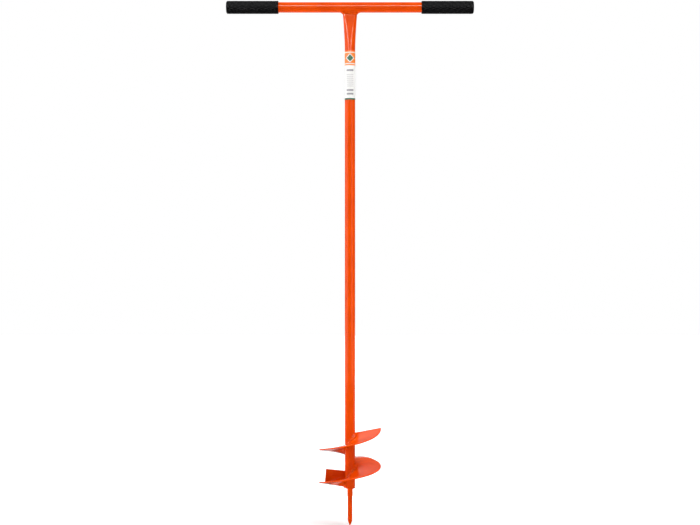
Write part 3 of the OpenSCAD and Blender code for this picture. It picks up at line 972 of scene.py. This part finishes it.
def seen_directly(tree, rays):
    """1 for what the camera sees, also through clear things, and 0 for light and reflections."""
    return add(tree, "ShaderNodeMath", {
        0: rays["Is Camera Ray"],
        1: rays["Is Transmission Ray"],
    }, operation="MAXIMUM")


def build_floor():
    """White floor that keeps the object's shadow. Its colour carries painted shade: it is dim where it shows
    in reflections, and darker behind the flight in the light it throws back.
    """
    half = 8
    white_glow = 0.42
    white_share = 0.8
    corners = [(-half, -half, 0), (half, -half, 0), (half, half, 0), (-half, half, 0)]
    floor = new_object("floor", corners, [], [(0, 1, 2, 3)])
    material = bpy.data.materials.new("white matt floor")
    material.use_nodes = True
    tree = material.node_tree
    tree.nodes.clear()
    rays = add(tree, "ShaderNodeLightPath").outputs
    seen = seen_directly(tree, rays)
    glow = add(tree, "ShaderNodeMath", {0: seen, 1: white_glow}, operation="MULTIPLY")
    ground = add(tree, "ShaderNodeTexCoord").outputs["Object"]
    place = add(tree, "ShaderNodeSeparateXYZ", {0: ground})
    # Painted shade in reflections: seen in them its colour is dark in front and near the tool, and brighter
    # further back
    dark_until = 0.2
    bright_from = 0.55
    mirrored = add(tree, "ShaderNodeMapRange", {
        "Value": place.outputs["Y"],
        "From Min": dark_until,
        "From Max": bright_from,
        "To Min": 0.03,
        "To Max": 0.42,
    })
    # Painted shade: just behind the flight its colour is darker in the light it throws back, as if the
    # tool's shadow lay there
    shade_middle = (0, 0.18, 0)
    shade_r = 0.1
    shade_edge_r = 0.2
    from_shade = add(tree, "ShaderNodeVectorMath", {0: ground, 1: shade_middle}, operation="DISTANCE")
    painted_shade_share = add(tree, "ShaderNodeMapRange", {
        "Value": from_shade.outputs["Value"],
        "From Min": shade_r,
        "From Max": shade_edge_r,
        "To Min": 0.12,
        "To Max": 0.95,
    })
    unseen = add(tree, "ShaderNodeMapRange", {
        "Value": rays["Is Glossy Ray"],
        "To Min": painted_shade_share,
        "To Max": mirrored,
    })
    share = add(tree, "ShaderNodeMapRange", {
        "Value": rays["Is Camera Ray"],
        "To Min": unseen,
        "To Max": white_share,
    })
    colour = add(tree, "ShaderNodeCombineColor", {"Red": share, "Green": share, "Blue": share})
    white = add(tree, "ShaderNodeEmission", {"Strength": glow})
    matt = add(tree, "ShaderNodeBsdfDiffuse", {"Color": colour})
    both = add(tree, "ShaderNodeAddShader", {0: white, 1: matt})
    add(tree, "ShaderNodeOutputMaterial", {"Surface": both})
    floor.data.materials.append(material)


def build_card():
    """A low card behind the spike that glows but lights nothing: a painted reflection, which only brightens
    reflections under the flight.
    """
    half = 0.3
    back = 0.08
    height = 0.055
    brightness = 0.55
    corners = [(-half, back, 0), (half, back, 0), (half, back, height), (-half, back, height)]
    card = new_object("reflector_card", corners, [], [(0, 1, 2, 3)])
    material = bpy.data.materials.new("glowing card for painted reflections")
    material.use_nodes = True
    tree = material.node_tree
    tree.nodes.clear()
    # The card's glow is a painted reflection, seen neither by the camera nor by the light
    glow = add(tree, "ShaderNodeEmission", {"Strength": brightness})
    add(tree, "ShaderNodeOutputMaterial", {"Surface": glow})
    card.data.materials.append(material)
    card.visible_camera = False
    card.visible_diffuse = False
    card.visible_shadow = False


def build_world():
    """A light tent, white where it is seen.

    It lights the tool from the left, the roof, the right and the front. Reflections show its back wall
    and its roof, which are brightest on the left, and it is dark at the front.
    """
    world = bpy.data.worlds.new("light tent")
    world.use_nodes = True
    bpy.context.scene.world = world
    tree = world.node_tree
    tree.nodes.clear()
    rays = add(tree, "ShaderNodeLightPath").outputs
    outward = add(tree, "ShaderNodeTexCoord").outputs["Generated"]
    way = add(tree, "ShaderNodeSeparateXYZ", {0: outward})

    def soft_lamp(aim, edge, core, brightness):
        """A round patch of the tent that fades from its core to its edge, both as cosines off its aim."""
        toward = add(tree, "ShaderNodeVectorMath", {0: outward, 1: aim}, operation="DOT_PRODUCT")
        return add(tree, "ShaderNodeMapRange", {
            "Value": toward.outputs["Value"],
            "From Min": edge,
            "From Max": core,
            "To Max": brightness,
        })

    # Light on the tool: four patches in a tent that is nearly dark
    fill = 0.02
    for patch in (
        soft_lamp(aim=(-1, 0, 0), edge=0.85, core=1.0, brightness=7.38),
        soft_lamp(aim=(0.05, -0.1, 0.99), edge=0.83, core=0.95, brightness=3.4),
        soft_lamp(aim=(0.5, -0.35, 0.79), edge=0.93, core=0.98, brightness=8.0),
        soft_lamp(aim=(0, -0.94, 0.34), edge=0.9, core=0.98, brightness=0.7),
    ):
        fill = add(tree, "ShaderNodeMath", {0: fill, 1: patch}, operation="ADD")
    # Reflections: a band of the roof behind the tool, and the back wall
    behind = add(tree, "ShaderNodeMapRange", {"Value": way.outputs["Y"], "From Min": 0.0, "From Max": 0.4})
    above = add(tree, "ShaderNodeMapRange", {"Value": way.outputs["Z"], "From Min": 0.1, "From Max": 0.75})
    below_top = add(tree, "ShaderNodeMapRange", {
        "Value": way.outputs["Z"],
        "From Min": 0.95,
        "From Max": 0.85,
    })
    roof_band = add(tree, "ShaderNodeMath", {0: above, 1: below_top}, operation="MULTIPLY")
    roof = add(tree, "ShaderNodeMath", {0: roof_band, 1: behind}, operation="MULTIPLY")
    roof_side = add(tree, "ShaderNodeMapRange", {
        "Value": way.outputs["X"],
        "From Min": 0.1,
        "From Max": -0.2,
        "To Min": 0.3,
    })
    lit_roof = add(tree, "ShaderNodeMath", {0: roof, 1: roof_side}, operation="MULTIPLY")
    wall = add(tree, "ShaderNodeMapRange", {"Value": way.outputs["Y"], "From Min": 0.93, "From Max": 0.99})
    wall_side = add(tree, "ShaderNodeMapRange", {
        "Value": way.outputs["X"],
        "From Min": 0.4,
        "From Max": -0.2,
        "To Min": 0.3,
    })
    lit_wall = add(tree, "ShaderNodeMath", {0: wall, 1: wall_side}, operation="MULTIPLY")
    backdrop = add(tree, "ShaderNodeMath", {0: lit_roof, 1: lit_wall}, operation="MAXIMUM")
    mirrored = add(tree, "ShaderNodeMapRange", {"Value": backdrop, "To Min": 0.03, "To Max": 0.95})
    lit = add(tree, "ShaderNodeMapRange", {
        "Value": rays["Is Glossy Ray"],
        "To Min": fill,
        "To Max": mirrored,
    })
    seen = seen_directly(tree, rays)
    strength = add(tree, "ShaderNodeMapRange", {"Value": seen, "To Min": lit, "To Max": 1.0})
    sky = add(tree, "ShaderNodeBackground", {"Color": (1, 1, 1, 1), "Strength": strength})
    add(tree, "ShaderNodeOutputWorld", {"Surface": sky})


def add_lamp(name, place, turn, width, length, brightness):
    watts_per_square_metre = 4
    lamp = bpy.data.lights.new(name, "AREA")
    lamp.shape = "RECTANGLE"
    lamp.size = width
    lamp.size_y = length
    lamp.energy = watts_per_square_metre * width * length * brightness
    obj = bpy.data.objects.new(name, lamp)
    obj.location = place
    obj.rotation_euler = turn
    bpy.context.scene.collection.objects.link(obj)
    return obj


def add_softbox(name, azimuth, distance, low, high, width, brightness):
    """An upright softbox that faces the shank. Azimuth 0 is on the camera's side, 90 on the right."""
    a = math.radians(azimuth)
    place = (distance * math.sin(a), -distance * math.cos(a), (low + high) / 2)
    return add_lamp(name, place, (math.radians(90), 0, a), width, high - low, brightness)


def add_overhead(elevation, distance, width, depth, brightness):
    """A long softbox above and in front of the crossbar, which draws the line of light along the tube."""
    e = math.radians(elevation)
    place = (0, -distance * math.cos(e), crossbar_z + distance * math.sin(e))
    return add_lamp("overhead_softbox", place, (math.radians(90) - e, 0, 0), width, depth, brightness)


def add_camera():
    """Level camera in front of the shank, seeing the photograph's width at the shank; the frame of 700 by
    525 is not set here.
    """
    distance = 3.1
    height = 0.6377
    seen_width = 1.694
    data = bpy.data.cameras.new("camera")
    data.sensor_width = 36
    data.lens = data.sensor_width * distance / seen_width
    camera = bpy.data.objects.new("camera", data)
    camera.location = (0, -distance, height)
    camera.rotation_euler = (math.radians(90), 0, 0)
    bpy.context.scene.collection.objects.link(camera)
    bpy.context.scene.camera = camera


build_floor()
build_card()
build_world()
add_softbox("left_wall", azimuth=-72, distance=2.5, low=0.1, high=1.6, width=2.5, brightness=0.62)
add_softbox("right_wall", azimuth=43, distance=2.5, low=0.1, high=1.6, width=1.8, brightness=0.45)
# The thin lamps only draw lines of light on the paint
for thin_lamp in (
    add_softbox(
        "left_strip", azimuth=-32, distance=2.4,
        low=1.4, high=1.82, width=0.12, brightness=40,
    ),
    add_softbox(
        "left_top_strip", azimuth=-32, distance=2.4,
        low=1.82, high=2.2, width=0.12, brightness=130,
    ),
    add_softbox(
        "right_strip", azimuth=16, distance=2.4,
        low=1.4, high=2.1, width=0.1, brightness=65,
    ),
    add_overhead(elevation=30.5, distance=1.8, width=1.2, depth=0.22, brightness=10.5),
):
    thin_lamp.visible_diffuse = False
add_camera()
bpy.context.scene.view_settings.view_transform = "Standard"
